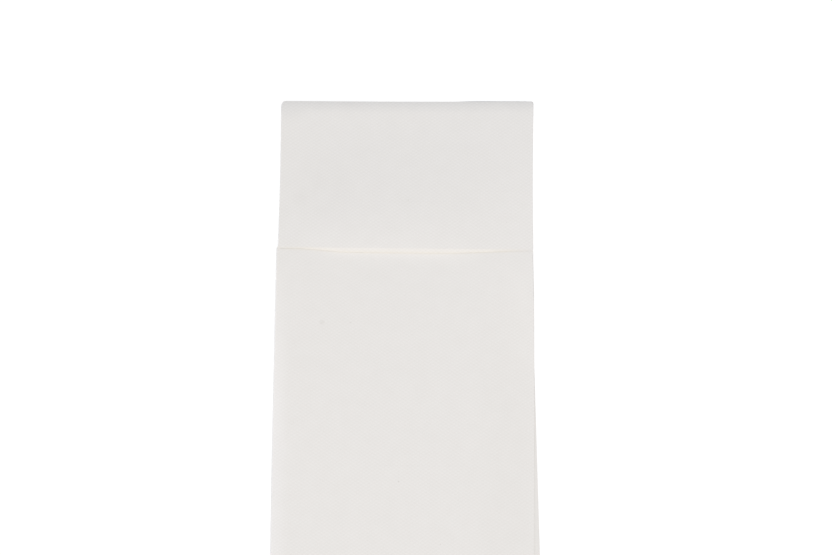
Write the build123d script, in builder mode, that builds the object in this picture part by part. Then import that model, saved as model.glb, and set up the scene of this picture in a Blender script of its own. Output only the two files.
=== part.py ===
# Paper napkin: one airlaid sheet, folded flat into a tall napkin with a pocket in its front.
# X runs across the napkin, +Y towards its top edge, and +Z up from the table that it lies on.
# The sheet's lower part is folded up first and makes the pocket. The doubled sheet is then
# folded in half to the back, and in half again, so that its four side edges end at the rear right.
import os

from build123d import *

# The open sheet, in millimetres
sheet_width = 400.0
sheet_length = 330.0
sheet_thickness = 0.35

# The folds
top_band = 60.0  # bare stretch of the back layer above the pocket's mouth
layer_gap = 0.15  # air between two layers that lie on each other

# The pocket's mouth
lip_sag = 1.2  # how far the middle of the lip dips below a straight line
mouth_gape = 0.6  # how high the middle of the lip arches up
gape_reach = 40.0  # how far down the pocket the arch fades out

# The rear half, which lies a little askew behind the front half
rear_slant = 2.4  # how far its side edges stand past the right fold at the bottom
slant_reach = 95.0  # how far above the bottom its side edges slip behind the right fold
rear_rise = 0.8  # how far its top edge stands past the front's top edge at the right

# The back layers above the mouth settle towards the table, because no pocket layers hold them up
settle_steps = 10
settle_power = 1.6

# Layers counted up from the table, in the order in which the sheet runs through them:
# outside of the rear, outside of the front, inside of the front, inside of the rear
pocket_layers = (0, 7, 4, 3)
back_layers = (1, 6, 5, 2)
top_layers = (0, 3, 2, 1)
bend_layers = [(pocket + back) / 2 for pocket, back in zip(pocket_layers, back_layers)]

pitch = sheet_thickness + layer_gap
half_sheet = sheet_thickness / 2
panel_width = sheet_width / 4
folded_length = (sheet_length + top_band) / 2
top_y = folded_length / 2
mouth_y = top_y - top_band
gape_y = mouth_y - gape_reach
lowest_y = -folded_length / 2
bend_radius = pitch / 2
bend_y = lowest_y + bend_radius + half_sheet


def layer_z(layer):
    """Height of the middle of a layer above the table."""
    return half_sheet + layer * pitch


def turn_radius(layer, next_layer):
    """Radius of the turn that carries the sheet from one layer to another."""
    return abs(next_layer - layer) * pitch / 2


# The turns at each side share one centre line, set by the outermost pocket layer
left_turn_x = -panel_width / 2 + turn_radius(*pocket_layers[0:2]) + half_sheet
right_turn_x = panel_width / 2 - turn_radius(*pocket_layers[1:3]) - half_sheet
middle_x = (left_turn_x + right_turn_x) / 2


def rear_edge_x(y):
    """Place of the slanting side edges of the rear half."""
    return panel_width / 2 + rear_slant * (1 - (y - lowest_y) / slant_reach)


def fold_line(y, layers, side=0.0, arch=0.0):
    """Draws the folded sheet's line at one Y, a distance to the side of its middle thickness."""
    rear_x = rear_edge_x(y)
    rear_outer, front_outer, front_inner, rear_inner = [layer_z(layer) for layer in layers]
    left_turn = turn_radius(*layers[0:2]) + side
    right_turn = turn_radius(*layers[1:3]) + side
    inner_turn = turn_radius(*layers[2:4]) - side
    rear_start = (rear_x, rear_outer - side)
    left_low = (left_turn_x, rear_outer - side)
    left_high = (left_turn_x, front_outer + side)
    right_high = (right_turn_x, front_outer + side)
    right_low = (right_turn_x, front_inner - side)
    inner_high = (left_turn_x, front_inner - side)
    inner_low = (left_turn_x, rear_inner + side)
    rear_stop = (rear_x, rear_inner + side)
    Line(rear_start, left_low)
    ThreePointArc(left_low, (left_turn_x - left_turn, (rear_outer + front_outer) / 2), left_high)
    if arch:
        ThreePointArc(left_high, (middle_x, front_outer + side + arch), right_high)
    else:
        Line(left_high, right_high)
    ThreePointArc(right_high, (right_turn_x + right_turn, (front_outer + front_inner) / 2), right_low)
    Line(right_low, inner_high)
    ThreePointArc(inner_high, (left_turn_x - inner_turn, (front_inner + rear_inner) / 2), inner_low)
    Line(inner_low, rear_stop)


def sheet_section(y, layers, arch=0.0):
    """Section of the folded sheet at one Y, with its thickness and its two cut ends."""
    rear_x = rear_edge_x(y)
    with BuildSketch(Plane.XZ.offset(-y)) as section:
        with BuildLine():
            fold_line(y, layers, half_sheet, arch)
            fold_line(y, layers, -half_sheet, arch)
            for layer in (layers[0], layers[3]):
                Line((rear_x, layer_z(layer) - half_sheet), (rear_x, layer_z(layer) + half_sheet))
        make_face()
    return section.sketch


def settled_section(step):
    """Section of the back layers at one step between the mouth and the top edge."""
    share = step / settle_steps
    settled = share**settle_power
    layers = [low + (high - low) * settled for low, high in zip(back_layers, top_layers)]
    return sheet_section(mouth_y + top_band * share, layers)


with BuildPart() as napkin:
    # The pocket layers reach from the bottom bend to the mouth, where the front one arches up
    pocket_sections = [
        sheet_section(bend_y, pocket_layers),
        sheet_section(gape_y, pocket_layers),
        sheet_section(mouth_y, pocket_layers, mouth_gape),
    ]
    loft(pocket_sections, ruled=True)

    # The front lip sags in its middle
    lip_z = layer_z(pocket_layers[1]) - pitch / 2
    with BuildSketch(Plane.XY.offset(lip_z)):
        with BuildLine():
            ThreePointArc((left_turn_x, mouth_y), (middle_x, mouth_y - lip_sag), (right_turn_x, mouth_y))
            Polyline(
                (right_turn_x, mouth_y),
                (right_turn_x, mouth_y + lip_sag),
                (left_turn_x, mouth_y + lip_sag),
                (left_turn_x, mouth_y),
            )
        make_face()
    extrude(amount=mouth_gape + 2 * pitch, mode=Mode.SUBTRACT)

    # The bottom bend joins each pocket layer to its back layer
    bend_start = (rear_edge_x(bend_y), bend_y, layer_z(bend_layers[0]))
    with BuildLine(Plane.XZ.offset(-bend_y)) as bend_path:
        fold_line(bend_y, bend_layers)
    with BuildSketch(Plane(origin=bend_start, x_dir=(0, 1, 0), z_dir=(-1, 0, 0))):
        with BuildLine():
            for radius in (bend_radius - half_sheet, bend_radius + half_sheet):
                ThreePointArc((0, -radius), (-radius, 0), (0, radius))
            for end in (-bend_radius, bend_radius):
                Line((0, end - half_sheet), (0, end + half_sheet))
        make_face()
    sweep(path=bend_path.line)

    # The back layers lie level inside the pocket and settle above it
    back_sections = [sheet_section(bend_y, back_layers)]
    back_sections += [settled_section(step) for step in range(settle_steps + 1)]
    loft(back_sections, ruled=True)

    # The rear half's top edge rises past the front's at the right
    for layer in (top_layers[0], top_layers[3]):
        with BuildSketch(Plane.XY.offset(layer_z(layer) - half_sheet)):
            with BuildLine():
                Polyline(
                    (middle_x, top_y),
                    (rear_edge_x(top_y), top_y),
                    (rear_edge_x(top_y), top_y + rear_rise),
                    close=True,
                )
            make_face()
        extrude(amount=sheet_thickness)

napkin.part.label = "napkin"
os.makedirs("parts", exist_ok=True)
export_step(napkin.part, "parts/napkin.step")
print("napkin", napkin.part.bounding_box().size, "mm,", round(napkin.part.volume / 1000, 2), "cm3")
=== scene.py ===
# %% [markdown]
# # A paper napkin with a pocket
# The napkin is one sheet of airlaid paper. Its lower part is folded up and makes a pocket for
# cutlery, and the doubled sheet is then folded in half twice. This lesson folds a flat grid by
# the same three folds, gives it the finish of embossed paper, and lays it on a pale table.

# %% Load the solid model as the frame
import math
from types import SimpleNamespace

import bpy
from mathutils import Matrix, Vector


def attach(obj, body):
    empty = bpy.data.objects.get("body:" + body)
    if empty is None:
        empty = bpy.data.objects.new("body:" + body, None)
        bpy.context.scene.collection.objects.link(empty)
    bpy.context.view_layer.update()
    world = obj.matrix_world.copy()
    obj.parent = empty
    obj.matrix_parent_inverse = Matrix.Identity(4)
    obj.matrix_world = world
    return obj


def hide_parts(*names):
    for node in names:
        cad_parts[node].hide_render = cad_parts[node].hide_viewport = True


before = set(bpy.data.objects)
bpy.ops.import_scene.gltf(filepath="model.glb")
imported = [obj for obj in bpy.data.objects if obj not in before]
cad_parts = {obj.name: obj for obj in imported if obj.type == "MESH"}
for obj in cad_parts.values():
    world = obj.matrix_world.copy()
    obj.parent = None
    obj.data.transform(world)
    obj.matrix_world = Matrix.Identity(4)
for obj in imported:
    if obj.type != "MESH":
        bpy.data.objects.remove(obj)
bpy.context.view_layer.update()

# %% [markdown]
# ## Sizes
# The real sheet is 400 x 330 mm, and every size below ends up in metres. Folding turns these few
# numbers into the whole shape, so a napkin from another sheet needs only other numbers here. They
# become the named inputs of a node tree. A napkin could also be drawn as finished outlines, but
# then every layer would have to be redrawn for a new sheet.

# %% Sizes of the sheet and of its folds
MM = 0.001
sheet_sizes = {
    "Sheet width": 400 * MM,
    "Sheet length": 330 * MM,
    "Sheet thickness": 0.35 * MM,
    "Layer gap": 0.15 * MM,
    "Top band": 60 * MM,  # bare stretch of the back layer above the pocket's mouth
    "Fold press": 0.3,  # width of a turn, as a share of a round one's
    "Rear slant": 2.95 * MM,  # how far the rear half's side edges stand out at the bottom
    "Slant reach": 97 * MM,  # how far above the bottom they slip behind the right fold
    "Rear rise": 0.3 * MM,  # how far the rear half's top edge stands past the front's
}
print("open sheet:", sheet_sizes["Sheet width"], "x", sheet_sizes["Sheet length"], "m")

# %% Sizes of the pocket's mouth and of the wear
mouth_sizes = {
    "Lip sag": 1.2 * MM,  # dip of the lip's middle
    "Lip curl": 0.3 * MM,  # rise of the lip's middle
    "Lip reach": 2.1 * MM,  # how far down the pocket that rise fades
    "Lip thickness": 0.03 * MM,
    "Crease height": 0.55 * MM,  # place of the back layer's crease above the ends of the lip
    "Ramp rise": 0.455 * MM,  # rise of the back layer up to the lip's edge
    "Ramp reach": 1.7 * MM,  # how far down the pocket that ramp fades
    "Band slope": 0.135,  # slope of the sliver between the lip and the crease
    "Crest rise": 0.12 * MM,  # height of a soft crest above the crease
}
wear_sizes = {
    "Top thickness": 0.18 * MM,
    "Side thickness": 0.25 * MM,
    "Edge reach": 1.5 * MM,  # how far from a cut edge the paper is pressed thin
    "Left press": 0.34,  # share of its height that the left fold loses
    "Left reach": 6.5 * MM,
    "Left bulge": 0.22 * MM,
    "Right press": 0.96,  # share of their distances that the right fold's layers lose
    "Right reach": 22 * MM,
    "Dish": 1.0 * MM,  # rise of the stack towards both sides
    "Top droop": 0.45 * MM,
    "Top slant": 0.4 * MM,
    "Left corner": 1.8 * MM,  # radii of the corners of the top edge
    "Right corner": 0.8 * MM,
    "Surface wave": 0.06 * MM,
}
fold_sizes = {**sheet_sizes, **mouth_sizes, **wear_sizes}
print(len(fold_sizes), "sizes drive the folded sheet")

# %% [markdown]
# ## Arithmetic on sockets
# Both the folding and the paper's finish are formulas. They could be wired by hand, one Math node
# at a time, but nobody can read such a tree. One small class wraps a socket of a node tree
# instead, so that a formula is written as plain Python and adds its Math nodes by itself.


# %% A socket that can be added, multiplied and compared
class Wire:
    """One value in a node tree. Arithmetic on it adds Math nodes to that tree."""

    def __init__(self, tree, socket=None):
        self.tree = tree
        self.socket = socket

    def node(self, kind, settings=None, inputs=None, output=0):
        """Adds any node: its settings first, then the values or links of its sockets."""
        made = self.tree.nodes.new(kind)
        for name, value in (settings or {}).items():
            setattr(made, name, value)
        for name, value in (inputs or {}).items():
            if isinstance(value, (Wire, list)):
                for wire in [value] if isinstance(value, Wire) else value:
                    self.tree.links.new(wire.socket, made.inputs[name])
            else:
                made.inputs[name].default_value = value
        return Wire(self.tree, made.outputs[output] if made.outputs else None)

    def math(self, operation, *values):
        return self.node("ShaderNodeMath", {"operation": operation}, dict(enumerate(values)))

    def __add__(self, other):
        return self.math("ADD", self, other)

    def __sub__(self, other):
        return self.math("SUBTRACT", self, other)

    def __rsub__(self, other):
        return self.math("SUBTRACT", other, self)

    def __mul__(self, other):
        return self.math("MULTIPLY", self, other)

    def __truediv__(self, other):
        return self.math("DIVIDE", self, other)

    def __pow__(self, other):
        return self.math("POWER", self, other)

    def __neg__(self):
        return self * -1

    def __abs__(self):
        return self.math("ABSOLUTE", self)

    __radd__ = __add__
    __rmul__ = __mul__

    def sin(self):
        return self.math("SINE", self)

    def cos(self):
        return self.math("COSINE", self)

    def exp(self):
        return self.math("EXPONENT", self)

    def min(self, other):
        return self.math("MINIMUM", self, other)

    def max(self, other):
        return self.math("MAXIMUM", self, other)

    def ramp(self, low, high, shape="LINEAR"):
        """0 below low, 1 above high, and even or smooth between them."""
        ends = {"Value": self, "From Min": low, "From Max": high}
        return self.node("ShaderNodeMapRange", {"interpolation_type": shape}, ends)

    def smooth(self, low, high):
        return self.ramp(low, high, "SMOOTHSTEP")

    def part(self, axis):
        """One axis of a vector."""
        return self.node("ShaderNodeSeparateXYZ", inputs={0: self}, output=axis)

    def noise(self, scale, detail):
        """Soft random values from 0 to 1 at a place, the same ones in every run."""
        cells = {"Vector": self, "Scale": scale, "Detail": detail}
        return self.node("ShaderNodeTexNoise", {"noise_dimensions": "2D"}, cells)


print("arithmetic is ready")

# %% [markdown]
# Four formulas come back again and again in the folding and in the finish, so each has a name.


# %% Formulas that are used more than once
def point(x, y, z=0.0):
    """A vector from three values, of which x is a wire."""
    return x.node("ShaderNodeCombineXYZ", inputs={"X": x, "Y": y, "Z": z})


def fading(distance, reach):
    """1 at no distance, and ever less with each further reach."""
    return (-distance / reach).exp()


def between(share, rise, fall):
    """0 before its rise and after its fall, and 1 between them."""
    return share.smooth(*rise) * (1 - share.smooth(*fall))


def crowded(share, amount):
    """The same share from 0 to 1, with its steps crowded at both ends."""
    return share - (share * math.tau).sin() * amount


print("formulas are ready")

# %% [markdown]
# ## The folding rule
# Real napkins are folded by machine from a flat web, and nothing is cut or joined afterwards. So
# the model is a flat grid too, and one rule says where each point of it goes. Across the sheet,
# the grid runs through seven stretches: four panels and the three turns between them. Along the
# sheet, it runs from the pocket's lip down to the bottom bend, and up the back to the top edge.
# A rule like this suits Geometry Nodes, because every point is moved by the same formula. A cloth
# simulation could also crease a sheet, but eight pressed layers would tangle.

# %% Stretches of the grid, with their numbers of cells
across_cells = {
    "rear outer": 42,
    "left turn": 12,
    "front": 72,
    "right turn": 10,
    "front inner": 72,
    "inner turn": 8,
    "rear inner": 42,
}
along_cells = {"pocket": 54, "bend": 8, "back inside": 54, "back above": 58}
grid_points = (sum(across_cells.values()) + 1, sum(along_cells.values()) + 1)


def stretches(share, cells):
    """Splits a share of the grid into one share per stretch, each from 0 to 1."""
    parts, start, total = {}, 0, sum(cells.values())
    for name, count in cells.items():
        parts[name] = share.ramp(start / total, (start + count) / total)
        start += count
    return parts


print("the flat grid has", grid_points[0], "x", grid_points[1], "points")

# %% [markdown]
# The layers lie one pitch apart. Each pocket layer lies against its back layer, so one folded
# line between the two serves both: half a pitch outside it is the pocket, half a pitch inside it
# the back. A turn is as high as the layers that it joins are apart, and is pressed flat sideways.
# The function below works on plain numbers and on wires, because both take the same operators.

# %% Lengths that follow from the sizes
layer_count = 8
left_steps, right_steps, inner_steps = 3, 1, 1  # radii of the turns of the folded line, in pitches


def fold_lengths(size):
    """Lengths that follow from the sizes: numbers from numbers, and nodes from sockets."""
    press = size["Fold press"]
    pitch = size["Sheet thickness"] + size["Layer gap"]
    half_sheet = size["Sheet thickness"] / 2
    half_panel = size["Sheet width"] / 8
    top_y = (size["Sheet length"] + size["Top band"]) / 4
    mouth_y = top_y - size["Top band"]
    crease_y = mouth_y + size["Crease height"]
    bend_y = pitch / 2 + half_sheet - top_y
    left_turn_x = (pitch * (left_steps + 0.5) + half_sheet) * press - half_panel
    right_turn_x = half_panel - (pitch * (right_steps + 0.5) + half_sheet) * press
    return SimpleNamespace(
        pitch=pitch,
        half_sheet=half_sheet,
        half_panel=half_panel,
        top_y=top_y,
        mouth_y=mouth_y,
        bend_y=bend_y,
        left_turn_x=left_turn_x,
        turn_length=pitch * ((press**2 + 1) / 2) ** 0.5,  # of one radian, at one pitch from the centre
        rear_run=half_panel - left_turn_x,
        panel_run=right_turn_x - left_turn_x,
        pocket_run=mouth_y - bend_y,
        inside_run=crease_y - bend_y,
        above_run=top_y - crease_y,
    )


numbers = fold_lengths(fold_sizes)
print(
    f"panels {numbers.half_panel * 2 / MM:.0f} mm wide, {numbers.top_y * 2 / MM:.0f} mm long, "
    f"with a layer every {numbers.pitch / MM:.2f} mm"
)

# %% [markdown]
# ## A slab to fold
# The grid first becomes a slab with two faces, one unit apart. The rule then carries both faces
# round each fold, so the sheet keeps its thickness there without cutting into itself. Solidify
# could thicken a folded sheet afterwards, but it knows nothing of the layers beside it.

# %% Start the folding tree with its named sizes
fold_tree = bpy.data.node_groups.new("fold_the_sheet", "GeometryNodeTree")
interface = fold_tree.interface
identifiers = {
    name: interface.new_socket(name=name, in_out="INPUT", socket_type="NodeSocketFloat").identifier
    for name in fold_sizes
}
interface.new_socket(name="Folded sheet", in_out="OUTPUT", socket_type="NodeSocketGeometry")

start = Wire(fold_tree)
size = {name: start.node("NodeGroupInput", output=name) for name in fold_sizes}
length = fold_lengths(size)
print("inputs:", ", ".join(identifiers))

# %% Make the flat slab, one unit long, wide and thick
weld_distance = 0.0001
grid_counts = {"Vertices X": grid_points[0], "Vertices Y": grid_points[1]}
grid = start.node("GeometryNodeMeshGrid", inputs={"Size X": 1.0, "Size Y": 1.0, **grid_counts})
outer = start.node("GeometryNodeSetPosition", inputs={"Geometry": grid, "Offset": (0.0, 0.0, -0.5)})
lifted = {"Mesh": outer, "Offset Scale": 1.0, "Individual": False}
inner = start.node("GeometryNodeExtrudeMesh", {"mode": "FACES"}, lifted)
turned = start.node("GeometryNodeFlipFaces", inputs={"Mesh": outer})
both = start.node("GeometryNodeJoinGeometry", inputs={"Geometry": [inner, turned]})
slab = start.node("GeometryNodeMergeByDistance", inputs={"Geometry": both, "Distance": weld_distance})


def count_nodes(step):
    """Prints how far the folding tree has grown."""
    print(f"{step}: {len(fold_tree.nodes)} nodes in the tree")


count_nodes("slab")

# %% Read where a point lies in the slab
fold_crowding = 0.14  # small cells beside the folds keep these crisp
slab_place = start.node("GeometryNodeInputPosition")
across = stretches(slab_place.part("X") + 0.5, across_cells)
along = stretches(slab_place.part("Y") + 0.5, along_cells)
outward = slab_place.part("Z") * -2  # 1 on the pocket's outer face, -1 on its inner face
for panel in ("front", "front inner"):
    across[panel] = crowded(across[panel], fold_crowding)
count_nodes("place in the slab")

# %% [markdown]
# ## Along the sheet
# Cells crowd where the paper bends: at the lip, at the crease that the lip has pressed into the
# back layer, and at the cut edges. An evenly fine grid would show the same, with many more cells.

# %% Share out the stretches
mouth_crowding = 2  # a power, for cells that crowd at one end only
side_crowding = 2.2
band_crowding = 0.12
down_pocket = along["pocket"] ** mouth_crowding
below_crease = (1 - along["back inside"]) ** mouth_crowding
up_band = crowded(along["back above"], band_crowding)
bend_turn = along["bend"] * math.pi
rear_share = 2 - across["rear outer"] ** side_crowding - (1 - across["rear inner"]) ** side_crowding
cross_share = rear_share + across["front"] - across["front inner"]  # 0 at the left, 1 at the right
count_nodes("shares")

# %% [markdown]
# Cutting and pressing leave the edges of real airlaid paper thin. Here the two faces draw together
# towards each cut edge, and at the lip the inner face does all of the moving.

# %% Press the cut edges thin
from_lip = length.pocket_run * down_pocket
from_top = length.above_run * (1 - up_band)
from_side = length.rear_run * (1 - rear_share)


def thinning(edge_thickness, from_edge):
    """What a cut edge of the named thickness takes off the sheet."""
    return (size["Sheet thickness"] - size[edge_thickness]) * fading(from_edge, size["Edge reach"])


lip_thinning = thinning("Lip thickness", from_lip)
top_thinning = thinning("Top thickness", from_top)
side_thinning = thinning("Side thickness", from_side)
thickness = size["Sheet thickness"] - lip_thinning.max(top_thinning).max(side_thinning)
to_face = (outward * thickness + lip_thinning) / 2
count_nodes("thickness")

# %% [markdown]
# The offset tells the pocket layer, half a pitch outside the folded line, from the back layer,
# half a pitch inside it. It swings over in the bottom bend. Above the mouth the back layers have
# no pocket layers under them, so they settle towards the table, a little sooner at the left than
# at the right.

# %% Work out the height up the napkin, the offset and the settling
settle_power = 1.4
settle_lag = 0.7  # what the right adds to that power
settle_share = 0.8  # part of the missing layers' room that closes up by the top edge
y = (
    length.mouth_y
    - from_lip
    - (length.pitch / 2 + to_face) * bend_turn.sin()
    + length.inside_run * (1 - below_crease)
    + length.above_run * up_band
)
in_pocket = bend_turn.cos() / 2 + 0.5
middle_offset = in_pocket - 0.5
face_offset = middle_offset + bend_turn.cos() * to_face / length.pitch
settled = up_band ** (cross_share * settle_lag + settle_power) * settle_share
count_nodes("offset")

# %% [markdown]
# ## Across the sheet
# Each panel is a straight run, and each turn a half circle that is pressed flat. All turns at one
# side share a centre line, so the layers of a fold nest in each other as real ones do. The height
# is worked out for the middle of the sheet first, and the lift of its two faces is added last.

# %% Turn the layers over
left_turn = across["left turn"] * math.pi
right_turn = across["right turn"] * math.pi
inner_turn = across["inner turn"] * math.pi


def turn_radii(offset):
    """Radii of the left, right and inner turn at an offset from the folded line."""
    left = offset + left_steps - settled
    right = offset + right_steps
    inside = inner_steps - offset - settled
    return [steps * length.pitch for steps in (left, right, inside)]


def layer_height(offset):
    """Height at an offset from the folded line."""
    left_radius, right_radius, inner_radius = turn_radii(offset)
    return (
        length.half_sheet
        + (0.5 - offset - settled) * length.pitch
        + left_radius * (1 - left_turn.cos())
        - right_radius * (1 - right_turn.cos())
        - inner_radius * (1 - inner_turn.cos())
    )


z = layer_height(middle_offset)
face_lift = layer_height(face_offset) - z
count_nodes("turns")

# %% Place the panels between the turns
slant = size["Rear slant"] * (1 - (y + length.top_y) / size["Slant reach"])
rear_edge_x = length.half_panel + slant
left_radius, right_radius, inner_radius = turn_radii(face_offset)
right_nose = right_radius * right_turn.sin() * size["Fold press"]
x = (
    length.left_turn_x
    + (rear_edge_x - length.left_turn_x) * rear_share
    + length.panel_run * (across["front"] - across["front inner"])
    - (left_radius * left_turn.sin() + inner_radius * inner_turn.sin()) * size["Fold press"]
    + right_nose
)
count_nodes("panels")

# %% [markdown]
# ## Soft shape
# A handled napkin isn't perfectly flat. The stack rises towards its springy side folds and droops
# at its cut top edge, the lip sags and curls up, the corners are rounded, and the whole face is
# faintly wavy. Sculpting could do this by eye. Here each is one more term of the rule that fades
# out to the sides or along the sheet, and moves the layers of one place in step, so that they
# never pass through each other.

# %% Dish the stack towards its sides, and let its top edge droop
dish_rise = (-60 * MM, 37 * MM)  # the heights up the napkin between which the dish deepens
dish_floor = 0.15  # share of the dish that is there all along
end_width = 0.3  # of each side, in half panels
droop_start = 0.915  # a share of the band
left_droop = 0.5  # how much more the left end droops
left_droop_lead = 0.06  # and how much sooner it starts
missing_layers = 3  # pocket layers that lie under the band's top layer inside the pocket only
sideways = x / length.half_panel  # -1 at the left, 1 at the right
left_end = 1 - sideways.smooth(-1, end_width - 1)
full_height = length.pitch * (layer_count - 1)
stack_height = full_height - length.pitch * (1 - in_pocket + settled * missing_layers)
dish_depth = y.smooth(*dish_rise) * (1 - dish_floor) + dish_floor
dish = size["Dish"] * dish_depth * sideways**2
droop_share = up_band.ramp(droop_start - left_end * left_droop_lead, 1.0) ** 2
droop = size["Top droop"] * (1 + left_end * left_droop) * droop_share
z = z + (dish - droop) * (z - length.half_sheet) / stack_height
count_nodes("dish")

# %% [markdown]
# The mouth is what the eye finds first. On the real napkin the front lip sags and curls up in its
# middle, and the back layer behind it climbs a short ramp to a crease that the lip has pressed
# into it. Above the crease it swells to a soft crest and then sinks with the band.

# %% Shape the pocket's mouth: how far each term spans
front = across["front"]
past_left_turn = across["left turn"].smooth(0.6, 1)
front_span = past_left_turn * (1 - across["right turn"].smooth(0, 0.4))
back_span = past_left_turn * (1 - across["front inner"].smooth(0, 0.4))
mouth_span = between(front, rise=(0.10, 0.28), fall=(0.62, 0.86))
sag_span = between(front, rise=(0.08, 0.28), fall=(0.62, 1.0))
band_span = between(front, rise=(0.0, 0.20), fall=(0.76, 1.0))
count_nodes("spans of the mouth")

# %% Shape the pocket's mouth: sag, curl, ramp and crest
sag_reach = 11 * MM
crest_place = 0.15  # a share of the band, as are the next two
ramp_fall = (0.05, 0.8)  # where the ramp's height fades out
ramp_lag = 0.15  # how much later it does so at the right
lip_sag = size["Lip sag"] * sag_span
past_lip = size["Crease height"] + lip_sag - length.inside_run * below_crease
lip_curl = size["Lip curl"] * mouth_span
ramp_top = size["Ramp rise"] * back_span + lip_curl
ramp = ramp_top * (past_lip.min(0) / size["Ramp reach"]).exp()
sliver = size["Band slope"] * band_span * past_lip.max(0)
crest = up_band / crest_place
y = y - lip_sag * fading(from_lip, sag_reach)
z = (
    z
    + lip_curl * fading(from_lip, size["Lip reach"])
    + (ramp + sliver) * (1 - (up_band - cross_share * ramp_lag).smooth(*ramp_fall))
    + size["Crest rise"] * mouth_span * crest * (1 - crest).exp()
)
count_nodes("mouth")

# %% [markdown]
# The lip is so thin that warm light comes through it, onto the layer behind. A translucent shader
# could carry that light, but it would also show all eight layers through each other. So the rule
# stores how near to the lip's edge a point lies, and the finish is tinted there.

# %% Mark the light that comes through the lip
lit_lip_reach = 0.3 * MM
lit_back_reach = 0.9 * MM
right_glow_loss = 0.8
open_start = 0.01  # a share of the band
in_the_open = up_band.smooth(0, open_start)  # 1 on the band above the crease
right_glow = 1 - front.smooth(0.88, 1.02) * right_glow_loss
glow_span = front_span * front.smooth(-0.08, 0.10) * right_glow
lit_back = fading(abs(past_lip), lit_back_reach) * (1 - in_the_open) * (1 - in_pocket)
lit_lip = fading(from_lip, lit_lip_reach) * in_pocket
lip_glow = lit_back.max(lit_lip) * glow_span
count_nodes("light through the lip")

# %% [markdown]
# The top edge isn't quite square: it slants a little, its two corners are rounded by handling, and
# the rear half shows past the front half near both ends.

# %% Shape the top edge
rear_shows_left, rear_shows_right = (0.1, 0.3), (0.6, 0.8)  # shares of the rear half's width
right_rise_gain = 1.5
top_start = 0.93  # a share of the band
near_top = up_band.smooth(top_start, 1.0)
behind = 1 - across["left turn"] + across["inner turn"]  # 1 on the rear half, 0 on the front half
shows_left = 1 - rear_share.smooth(*rear_shows_left)
shows_right = rear_share.smooth(*rear_shows_right) * right_rise_gain
rear_rise = size["Rear rise"] * behind * (shows_left + shows_right)


def corner_drop(from_fold, radius):
    """How far a rounded corner lowers the top edge, at a distance from the side fold."""
    into_corner = 1 - (from_fold / radius).ramp(0, 1)
    return radius * (1 - (1 - into_corner**2) ** 0.5)


left_drop = corner_drop(x + length.half_panel - length.pitch, size["Left corner"])
right_drop = corner_drop(length.half_panel - x - length.pitch / 2, size["Right corner"])
top_slant = size["Top slant"] * up_band**2 * sideways
y = y + (rear_rise - (left_drop + right_drop)) * near_top + top_slant
count_nodes("top edge")

# %% [markdown]
# The sides tell how the napkin was packed. Their outlines wander by a few tenths of a millimetre.
# The left fold, with all eight layers in it, is pressed low towards the bottom. The right fold
# holds only the front layers: it is pressed thin and stays high, and the rear layers, which end
# there as springy cut edges, spread out below it.

# %% Let the outlines wander
top_flare, band_waist, mouth_step = 0.004, 0.005, 0.0035  # shares of the width, on the band
bulge_rise = (-75 * MM, -40 * MM)  # heights up the napkin
tuck_depth = 0.3 * MM
tuck_rise = (20 * MM, 37 * MM)
right_end = sideways.smooth(1 - end_width, 1)
flare = up_band**2 * top_flare - (up_band * math.pi).sin() * band_waist - in_the_open * mouth_step
x = x * (flare + 1)
left_bulge = size["Left bulge"] * left_end * y.smooth(*bulge_rise)
right_tuck = tuck_depth * right_end * y.smooth(*tuck_rise)
x = x - (1 - in_the_open) * (left_bulge + right_tuck)
count_nodes("outlines")

# %% Press the left fold
left_press_fall = (-40 * MM, 40 * MM)  # heights up the napkin between which the pressing fades
above_rest = z - length.half_sheet
from_left = (x + length.half_panel).max(0)
near_left = (1 - (from_left / size["Left reach"]).ramp(0, 1)) ** 2
left_press = size["Left press"] * (1 - y.smooth(*left_press_fall)) * near_left
count_nodes("left fold")

# %% Press the right fold, and spread the rear edges below it
right_press_fall = (-20 * MM, 35 * MM)  # heights up the napkin between which the pressing fades
fold_push = 0.48 * MM  # how far the pressing pushes the fold outwards
nose_loss = 0.9  # share of the round turn that the pressing takes away
fold_sink = 0.22  # share of its height that the pressed fold loses
edge_spring = 0.70  # share of their height that the rear edges gain
spring_reach = 19 * MM  # how far past the fold that gain would fall by one
from_right = (length.half_panel - x).max(0)
near_right = 1 - (from_right / size["Right reach"]).smooth(0, 1)
right_press = size["Right press"] * near_right * (1 - y.smooth(*right_press_fall))
x = x + right_press * (1 - behind) * (fold_push - right_nose * nose_loss)
top_height = full_height + dish
gathered = top_height * (1 - right_press * fold_sink) - (top_height - above_rest) * (1 - right_press)
past_fold = (x - length.half_panel).max(0)
spread = above_rest * (1 + right_press * (edge_spring - past_fold / spring_reach))
above_rest = gathered + (spread - gathered) * behind
face_lift = face_lift * (1 - left_press) * (1 - right_press * (1 - behind))
count_nodes("right fold")

# %% Add a faint wave, and the lift of both faces
wave = point(x, y).noise(scale=22.0, detail=1.0) * 2 - 1
wave_share = wave * size["Surface wave"] / full_height
z = length.half_sheet + above_rest * (1 - left_press + wave_share) + face_lift
count_nodes("wave")

# %% [markdown]
# ## Back to the flat sheet
# Embossing is rolled into paper before it is folded. So each point also keeps its place on the
# flat sheet, in metres, as a UV map. The finish is drawn there, and turns round each fold with
# the paper. Object coordinates would be simpler, but the pattern would cut straight through.

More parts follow.
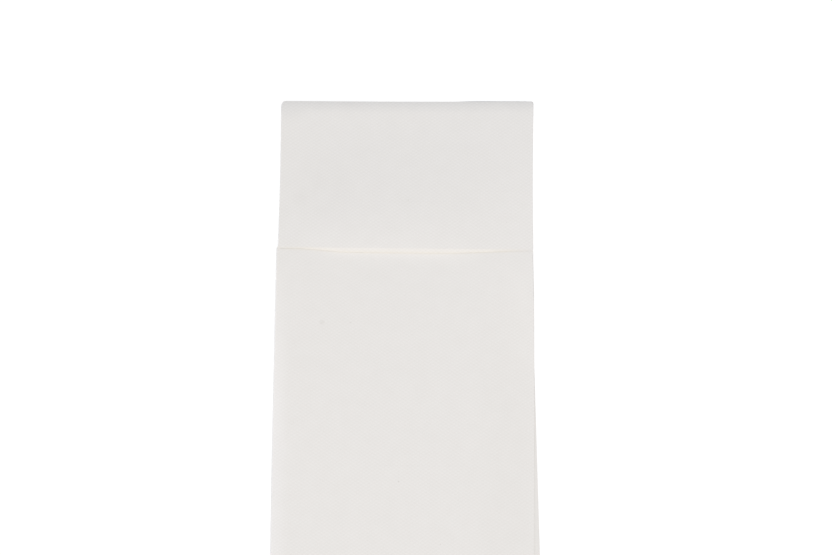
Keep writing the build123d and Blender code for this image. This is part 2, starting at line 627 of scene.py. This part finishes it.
# %% Keep the flat place, then fold
flat_u = (
    length.rear_run * (across["rear outer"] + across["rear inner"])
    + length.panel_run * (across["front"] + across["front inner"])
    + length.turn_length * (left_turn * left_steps + right_turn * right_steps + inner_turn * inner_steps)
)
flat_v = (
    from_lip
    + length.pitch / 2 * bend_turn
    + length.inside_run * (1 - below_crease)
    + length.above_run * up_band
)
flat_map = start.node(
    "GeometryNodeStoreNamedAttribute",
    {"data_type": "FLOAT2", "domain": "CORNER"},
    {"Geometry": slab, "Name": "flat_sheet", "Value": point(flat_u, flat_v)},
)
glow_map = start.node(
    "GeometryNodeStoreNamedAttribute",
    {"data_type": "FLOAT", "domain": "POINT"},
    {"Geometry": flat_map, "Name": "lip_glow", "Value": lip_glow},
)
folded = start.node("GeometryNodeSetPosition", inputs={"Geometry": glow_map, "Position": point(x, y, z)})
count_nodes("folding rule")

# %% [markdown]
# ## The paper's finish
# Airlaid paper is a mat of fluffed wood fibres. It is matt and warm white, a little cloudy where
# the fibres lie thicker, and pressed between engraved rollers that leave rows of tiny points. The
# points are far too many to model one by one, so they are a relief in the material, with a faint
# change of tone: the tips catch a little more light than the hollows between them.

# %% Embossed points
paper = bpy.data.materials.new("airlaid_paper")
paper.use_nodes = True
paper.node_tree.nodes.clear()
flat = Wire(paper.node_tree).node("ShaderNodeUVMap", {"uv_map": "flat_sheet"})

point_pitch_across = 2.07 * MM
point_pitch_along = 1.35 * MM
point_sharpness = 1.6
drift_size = 1.2 * MM  # rows on a roller are never quite straight on the paper
drift_along = 0.7
roll_drift = (flat.noise(scale=14.0, detail=1.0) - 0.5) * drift_size
rows_across = (flat.part("X") + roll_drift) * (math.tau / point_pitch_across)
rows_along = (flat.part("Y") + roll_drift * drift_along) * (math.tau / point_pitch_along)
points = (rows_across.cos() * rows_along.cos() * 0.5 + 0.5) ** point_sharpness
cells_per_cm2 = 1 / (point_pitch_across * point_pitch_along * 100**2)
print("embossing:", round(2 * cells_per_cm2), "points per cm2, two in each cell")

# %% Clouds and fibres, and the two sides of the paper
cloud = flat.noise(scale=160.0, detail=3.0)
fibre = flat.noise(scale=1800.0, detail=2.0)
bend_stretch = (100 * MM, 200 * MM)  # round the bottom bend, past which the other side shows
pocket_point_depth, rolled_side_depth = 0.27, 0.09  # the rolled side's points are crisper
rolled_side = flat.part("Y").smooth(*bend_stretch)
point_depth = rolled_side * rolled_side_depth + pocket_point_depth
print("paper so far:", len(paper.node_tree.nodes), "nodes")

# %% [markdown]
# A new napkin still has small dark flecks of bark in the pulp. Beside them lie patches of painted
# shade, standing in for slight dents that the mesh doesn't have, and fine lines of painted shade
# where the web was creased in folding. All of them sit at fixed places on the front, given in
# millimetres across and up from the middle of the napkin. A random scatter would be quicker, but
# it would put them elsewhere.


# %% Find a place on the flat sheet
def front_place(across_mm, up_mm):
    """Place on the flat sheet of a point on the napkin's front."""
    left_turn_run = math.pi * left_steps * numbers.turn_length
    u = numbers.rear_run + left_turn_run + across_mm * MM - numbers.left_turn_x
    if up_mm * MM < numbers.mouth_y:
        return u, numbers.mouth_y - up_mm * MM
    return u, numbers.pocket_run + math.pi / 2 * numbers.pitch + up_mm * MM - numbers.bend_y


print("the middle of the front lies at", [round(v, 4) for v in front_place(0, 0)], "m on the sheet")

# %% Flecks
flecks = [
    # across, up, radius and darkness
    (1.0, 57.4, 0.45, 0.16),
    (-31.7, 8.9, 1.5, 0.11),
    (-20.8, 8.9, 0.4, 0.2),
    (-1.5, -52.0, 0.5, 0.22),
    (14.7, -75.6, 0.4, 0.2),
    (39.5, 48.9, 0.4, 0.1),
]
fleck_core = 0.2  # share of the radius that is evenly dark


def fleck(across_mm, up_mm, radius_mm, darkness):
    """A round speck with a soft rim."""
    radius = radius_mm * MM
    ends = {0: flat, 1: (*front_place(across_mm, up_mm), 0.0)}
    reach = flat.node("ShaderNodeVectorMath", {"operation": "DISTANCE"}, ends, "Value")
    return (1 - reach.smooth(fleck_core * radius, radius)) * darkness


flecks_and_painted_shade = sum(fleck(*place) for place in flecks)
print(len(flecks), "flecks")

# %% Patches of painted shade
# patches of painted shade, standing in for slight dents that the mesh doesn't have
painted_dent_shades = [
    # across, up, half width, half height and darkness
    (-38.0, -6.6, 8.0, 4.0, 0.06),
    (45.0, -35.0, 5.0, 4.0, 0.05),
    (-42.0, 57.5, 6.0, 4.0, 0.05),
    (-33.0, 61.0, 14.0, 20.0, 0.13),
    (35.0, 68.5, 3.0, 7.0, 0.04),
]
shade_cloud_floor = 0.25  # clouds below this get no painted shade


def painted_dent_shade(across_mm, up_mm, half_width_mm, half_height_mm, darkness):
    """An oval patch of painted shade, mottled by the clouds of the pulp."""
    centre_u, centre_v = front_place(across_mm, up_mm)
    off_u = (flat.part("X") - centre_u) / (half_width_mm * MM)
    off_v = (flat.part("Y") - centre_v) / (half_height_mm * MM)
    return (1 - (off_u**2 + off_v**2).smooth(0, 1)) * (cloud - shade_cloud_floor).max(0) * darkness


# the painted shade of the dents joins the flecks
flecks_and_painted_shade = sum((painted_dent_shade(*place) for place in painted_dent_shades), flecks_and_painted_shade)
print(len(painted_dent_shades), "painted_dent_shades")

# %% Lines of painted shade along creases
# fine lines of painted shade where the web was creased in folding
painted_crease_lines = [
    # left end, right end, height and darkness
    (28.9, 44.6, 61.2, 0.035),
    (-17.1, 25.1, 56.8, 0.025),
    (-8.6, 25.7, -46.0, 0.025),
]
crease_shade_half_width = 0.25 * MM
crease_shade_fade = 4 * MM


def painted_crease_line(left_mm, right_mm, up_mm, darkness):
    """A fine level line of painted crease shade that fades at both ends."""
    left_u, line_v = front_place(left_mm, up_mm)
    right_u = left_u + (right_mm - left_mm) * MM
    line = 1 - (abs(flat.part("Y") - line_v) / crease_shade_half_width).ramp(0, 1)
    rise, fall = (left_u, left_u + crease_shade_fade), (right_u - crease_shade_fade, right_u)
    return line * between(flat.part("X"), rise, fall) * darkness


# the painted crease shade joins the flecks and the dents' shade
flecks_and_painted_shade = sum((painted_crease_line(*place) for place in painted_crease_lines), flecks_and_painted_shade)
print(len(painted_crease_lines), "painted_crease_lines")

# %% [markdown]
# All of this meets in one tone between two warm whites, that of the hollows and that of the tips.
# The painted light through the lip, the bark flecks and the painted shade of dents and creases
# are then laid over it. Colours go through Mix nodes, because a Math node would turn them grey.

# %% Colour of the paper
hollow_white = (0.757, 0.7443, 0.7265, 1.0)
tip_white = (0.853, 0.845, 0.8358, 1.0)
lit_paper = (0.82, 0.75, 0.61, 1.0)
# one grey for the bark flecks and for the painted shade of dents and creases
bark_and_shade_grey = (0.42, 0.39, 0.35, 1.0)
mean_point = 0.4
cloud_depth = 0.22
fibre_depth = 0.4
rolled_side_gain = 0.07  # the rolled side is a shade paler
lit_share = 0.34


def blend(share, under, over):
    """One colour over another. A Mix node's colours are its sockets 6 and 7, and output 2."""
    return share.node("ShaderNodeMix", {"data_type": "RGBA"}, {0: share, 6: under, 7: over}, output=2)


tone = (
    (points - mean_point) * point_depth
    + (cloud - 0.5) * cloud_depth
    + (fibre - 0.5) * fibre_depth
    + rolled_side * rolled_side_gain
    + 0.5
)
glow = flat.node("ShaderNodeAttribute", {"attribute_name": "lip_glow"}, output="Fac")
colour = blend(tone, hollow_white, tip_white)
colour = blend(glow * lit_share, colour, lit_paper)
# lays the bark flecks and the painted shade of dents and creases over the paper
colour = blend(flecks_and_painted_shade, colour, bark_and_shade_grey)
print("paper with its colour:", len(paper.node_tree.nodes), "nodes")

# %% Relief and shader of the paper
point_relief, fibre_relief = 0.8, 0.5  # shares of the relief's height
relief_height = 0.02 * MM
paper_roughness, fibre_roughness = 0.85, 0.1
relief = points * point_relief + fibre * fibre_relief
bump = flat.node(
    "ShaderNodeBump", inputs={"Strength": 0.5, "Distance": relief_height, "Height": relief}
)
shader = flat.node(
    "ShaderNodeBsdfPrincipled",
    inputs={
        "Base Color": colour,
        "Roughness": fibre * fibre_roughness + paper_roughness,
        "Specular IOR Level": 0.25,
        "Normal": bump,
    },
)
flat.node("ShaderNodeOutputMaterial", inputs={"Surface": shader})
print("paper material:", len(paper.node_tree.nodes), "nodes")

# %% [markdown]
# ## From the rule to a mesh
# The tree ends in Realize Instances and Set Material. A modifier on an empty mesh runs the tree,
# and the result is kept as a plain mesh, which no longer needs the tree.

# %% Close the tree and run it
smoothed = start.node("GeometryNodeSetShadeSmooth", inputs={0: folded})
realized = start.node("GeometryNodeRealizeInstances", inputs={0: smoothed})
finished = start.node("GeometryNodeSetMaterial", inputs={"Geometry": realized, "Material": paper})
start.node("NodeGroupOutput", inputs={0: finished})

folding_board = bpy.data.objects.new("folding_board", bpy.data.meshes.new("folding_board"))
bpy.context.scene.collection.objects.link(folding_board)
fold = folding_board.modifiers.new("fold", "NODES")
fold.node_group = fold_tree
for name, value in fold_sizes.items():
    fold[identifiers[name]] = value
evaluated = folding_board.evaluated_get(bpy.context.evaluated_depsgraph_get())
napkin_mesh = bpy.data.meshes.new_from_object(evaluated)
print("folded mesh:", len(napkin_mesh.vertices), "points")

# %% Keep the result as a plain mesh
sharp_angle = 50  # degrees
napkin_mesh.name = "folded_napkin"
napkin_mesh.materials.pop(index=0)  # the empty slot that a grid starts with
napkin_mesh.set_sharp_from_angle(angle=math.radians(sharp_angle))
napkin = bpy.data.objects.new("folded_napkin", napkin_mesh)
bpy.context.scene.collection.objects.link(napkin)
bpy.data.objects.remove(folding_board)
napkin_mesh.calc_loop_triangles()
print("napkin:", len(napkin_mesh.loop_triangles), "triangles")
print("materials:", [material.name for material in napkin_mesh.materials])
print("UV maps:", [uv_map.name for uv_map in napkin_mesh.uv_layers])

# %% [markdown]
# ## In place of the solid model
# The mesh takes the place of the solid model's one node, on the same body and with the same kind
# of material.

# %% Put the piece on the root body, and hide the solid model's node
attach(napkin, "root")
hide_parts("napkin")

# %% [markdown]
# ## Table, light and camera
# The table is a plain pale plane that glows a little, so that it stays white under the soft
# light. One very large warm light stands in front of the napkin, which shows the droop of the top
# edge and the crease at the mouth. A weak, cool reflector, low at the left, shows the pressed left
# fold, and a cool sky fills the rest.

# %% Table
table_half = 20.0
table_shades = {
    "Base Color": (0.1, 0.1, 0.1, 1.0),
    "Roughness": 0.9,
    "Emission Color": (1.0, 1.0, 1.0, 1.0),
    "Emission Strength": 0.95,
}
corner_signs = [(-1, -1), (1, -1), (1, 1), (-1, 1)]
corners = [(across_sign * table_half, up_sign * table_half, 0) for across_sign, up_sign in corner_signs]
table_mesh = bpy.data.meshes.new("table")
table_mesh.from_pydata(corners, [], [(0, 1, 2, 3)])
table = bpy.data.objects.new("table", table_mesh)
bpy.context.scene.collection.objects.link(table)
table_paint = bpy.data.materials.new("table_white")
table_paint.use_nodes = True
for socket, value in table_shades.items():
    table_paint.node_tree.nodes["Principled BSDF"].inputs[socket].default_value = value
table_mesh.materials.append(table_paint)
print("table:", 2 * table_half, "m wide")

# %% Sky
world = bpy.data.worlds.new("studio")
world.use_nodes = True
sky = world.node_tree.nodes["Background"]
sky.inputs["Color"].default_value = (0.905, 0.95, 1.0, 1.0)
sky.inputs["Strength"].default_value = 0.558
bpy.context.scene.world = world
bpy.context.scene.view_settings.view_transform = "Standard"
print("sky strength:", round(sky.inputs["Strength"].default_value, 3))


# %% Window and reflector
def soft_light(name, heading, elevation, distance, extent, power, colour):
    """A large soft light that faces the napkin. Its heading is in degrees left of the front."""
    data = bpy.data.lights.new(name, "AREA")
    data.shape = "RECTANGLE"
    data.size, data.size_y = extent
    data.energy = power
    data.color = colour
    light = bpy.data.objects.new(name, data)
    turn, rise = math.radians(heading), math.radians(elevation)
    direction = (-math.sin(turn) * math.cos(rise), -math.cos(turn) * math.cos(rise), math.sin(rise))
    light.location = distance * Vector(direction)
    light.rotation_euler = (-light.location).to_track_quat("-Z", "Y").to_euler()
    bpy.context.scene.collection.objects.link(light)
    print(name, "at", [round(v, 2) for v in light.location], "m")


warm, cool = (1.0, 0.91, 0.81), (0.78, 0.82, 1.0)
soft_light("window", heading=3, elevation=38, distance=6.0, extent=(6.0, 4.4), power=329.0, colour=warm)
soft_light("reflector", heading=90, elevation=15, distance=3.0, extent=(3.0, 1.0), power=20.5, colour=cool)

# %% [markdown]
# A long lens keeps the sides of a flat thing nearly parallel. The camera looks down on the napkin
# steeply, from a little in front of it, and its frame ends above the bottom bend.

# %% Camera
camera_pitch = 80.36  # degrees below the horizon
camera_turn = 0.622  # degrees round the upright axis
camera_data = bpy.data.cameras.new("camera")
camera_data.lens = 85.0
camera_data.sensor_width = 36.0
camera_data.clip_start = 0.01
camera = bpy.data.objects.new("camera", camera_data)
camera.location = Vector((5.69, -100.59, 753.94)) * MM
camera.rotation_euler = (math.radians(90 - camera_pitch), 0.0, math.radians(camera_turn))
bpy.context.scene.collection.objects.link(camera)
bpy.context.scene.camera = camera
print("camera at", [round(v, 3) for v in camera.location], "m")
